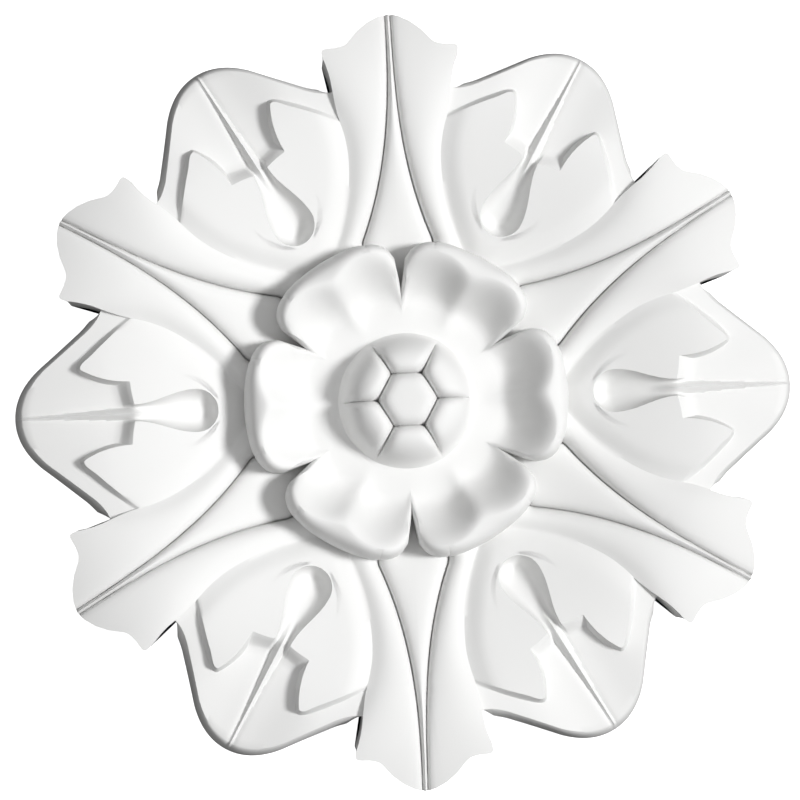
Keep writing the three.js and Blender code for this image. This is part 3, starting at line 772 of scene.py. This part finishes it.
class ROSE_OT_stage(bpy.types.Operator):
    """Set the floor, the lights and the camera"""

    bl_idname = "rose.stage"
    bl_label = "Set Stage"

    def execute(self, context):
        stage = read_sizes(context.scene.rose_stage)
        self.add_floor(stage)
        self.add_lights(context.scene, stage)
        self.add_camera(context.scene, stage)
        context.scene.view_settings.view_transform = "Standard"
        return {"FINISHED"}

    @staticmethod
    def add_floor(stage):
        deselect_all()
        bpy.ops.mesh.primitive_plane_add(size=stage.floor_size, location=(0, 0, -FLOOR_GAP))
        floor = bpy.context.object
        floor.name = "pale_floor"
        material = bpy.data.materials.new("pale_floor")
        material.use_nodes = True
        shader = material.node_tree.nodes["Principled BSDF"]
        shader.inputs["Base Color"].default_value = FLOOR_COLOUR
        shader.inputs["Roughness"].default_value = 1
        shader.inputs["Emission Color"].default_value = WHITE
        shader.inputs["Emission Strength"].default_value = 1
        floor.data.materials.append(material)
        floor.visible_diffuse = False
        floor.visible_glossy = False

    @staticmethod
    def add_lights(scene, stage):
        deselect_all()
        bpy.ops.object.light_add(type="SUN")
        key = bpy.context.object
        key.name = "key_light"
        key.data.energy = stage.key_strength
        key.data.angle = stage.key_softness
        towards = Vector((
            math.cos(stage.key_elevation) * math.cos(stage.key_azimuth),
            math.cos(stage.key_elevation) * math.sin(stage.key_azimuth),
            math.sin(stage.key_elevation),
        ))
        key.rotation_euler = towards.to_track_quat("Z", "Y").to_euler()
        world = bpy.data.worlds.new("studio")
        world.use_nodes = True
        nodes = world.node_tree.nodes
        links = world.node_tree.links
        backdrop = nodes["Background"]
        sky = nodes.new("ShaderNodeBackground")
        direction = nodes.new("ShaderNodeTexCoord")
        axes = nodes.new("ShaderNodeSeparateXYZ")
        height = nodes.new("ShaderNodeMapRange")
        height.inputs["From Min"].default_value = 0
        height.inputs["From Max"].default_value = 1
        height.inputs["To Min"].default_value = stage.sky_horizon * stage.sky_strength
        height.inputs["To Max"].default_value = stage.sky_strength
        above = nodes.new("ShaderNodeMath")
        above.operation = "GREATER_THAN"
        above.inputs[1].default_value = 0
        strength = nodes.new("ShaderNodeMath")
        strength.operation = "MULTIPLY"
        path = nodes.new("ShaderNodeLightPath")
        either = nodes.new("ShaderNodeMixShader")
        backdrop.inputs["Color"].default_value = WHITE
        backdrop.inputs["Strength"].default_value = 1
        sky.inputs["Color"].default_value = WHITE
        links.new(direction.outputs["Generated"], axes.inputs["Vector"])
        links.new(axes.outputs["Z"], height.inputs["Value"])
        links.new(axes.outputs["Z"], above.inputs[0])
        links.new(height.outputs["Result"], strength.inputs[0])
        links.new(above.outputs["Value"], strength.inputs[1])
        links.new(strength.outputs["Value"], sky.inputs["Strength"])
        links.new(path.outputs["Is Camera Ray"], either.inputs["Fac"])
        links.new(sky.outputs["Background"], either.inputs[1])
        links.new(backdrop.outputs["Background"], either.inputs[2])
        links.new(either.outputs["Shader"], nodes["World Output"].inputs["Surface"])
        scene.world = world

    @staticmethod
    def add_camera(scene, stage):
        deselect_all()
        bpy.ops.object.camera_add()
        camera = bpy.context.object
        camera.name = "camera"
        camera.data.lens = stage.focal_length
        camera.data.sensor_width = SENSOR_WIDTH
        camera.data.shift_x = stage.shift_x
        camera.data.shift_y = stage.shift_y
        camera.data.clip_start = NEAR_CLIP
        back = Vector((stage.lean_x, stage.lean_y, 1)).normalized()
        level = Vector((0, 1, 0)).cross(back).normalized()
        upright = back.cross(level)
        right = math.cos(stage.roll) * level + math.sin(stage.roll) * upright
        up = -math.sin(stage.roll) * level + math.cos(stage.roll) * upright
        turn = Matrix((right, up, back)).transposed().to_4x4()
        camera.matrix_world = Matrix.Translation(back * stage.camera_distance) @ turn
        scene.camera = camera


class ROSE_PT_panel(bpy.types.Panel):
    """Sizes, finish and stage of the rose"""

    bl_idname = "ROSE_PT_panel"
    bl_label = "Ceiling Rose"
    bl_space_type = "VIEW_3D"
    bl_region_type = "UI"
    bl_category = "Rose"

    def draw(self, context):
        for operator in OPERATORS:
            self.layout.operator(operator.bl_idname)
        for group in GROUPS:
            box = self.layout.box()
            box.label(text=group)
            settings = getattr(context.scene, group)
            for key in type(settings).__annotations__:
                box.prop(settings, key)


GROUPS = {
    "rose_leaf": RoseLeafSizes,
    "rose_back": RoseBackSizes,
    "rose_centre": RoseCentreSizes,
    "rose_mesh": RoseMesh,
    "rose_finish": RoseFinish,
    "rose_stage": RoseStage,
}
OPERATORS = (ROSE_OT_carve, ROSE_OT_stage)


def register():
    for group, kind in GROUPS.items():
        bpy.utils.register_class(kind)
        setattr(bpy.types.Scene, group, PointerProperty(type=kind))
    for kind in (*OPERATORS, ROSE_PT_panel):
        bpy.utils.register_class(kind)


def unregister():
    for kind in (ROSE_PT_panel, *reversed(OPERATORS)):
        bpy.utils.unregister_class(kind)
    for group, kind in reversed(GROUPS.items()):
        delattr(bpy.types.Scene, group)
        bpy.utils.unregister_class(kind)


def main():
    register()
    bpy.ops.rose.carve()
    bpy.ops.rose.stage()
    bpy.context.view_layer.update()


if __name__ == "__main__":
    main()
